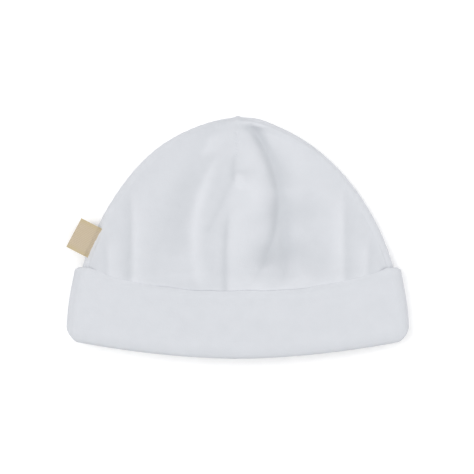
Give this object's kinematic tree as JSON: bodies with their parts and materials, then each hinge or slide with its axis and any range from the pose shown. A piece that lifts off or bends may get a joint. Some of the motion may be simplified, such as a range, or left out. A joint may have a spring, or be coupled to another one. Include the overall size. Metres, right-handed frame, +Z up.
{
  "type": "nightcap",
  "caption": "Baby's soft velour cap lying flat on its back: domed two-panel crown with soft folds, turned-up cuff round the mouth and a folded tape label in the side seam.",
  "frame": {"origin": "middle of the base, on the surface that the cap lies on", "axes": "+X across the cap towards the side without the label, +Y from the mouth to the tip of the crown, +Z up from the surface through the puffed front"},
  "size_m": [0.171, 0.1208, 0.0228],
  "materials": {
    "velour": "soft matt pile",
    "cuff_velour": "soft matt pile",
    "label_tape": "matt twill tape"
  },
  "bodies": {
    "root": {"front_panel": "velour", "back_panel": "velour", "cuff": "cuff_velour", "side_label": "label_tape"}
  },
  "joints": []
}
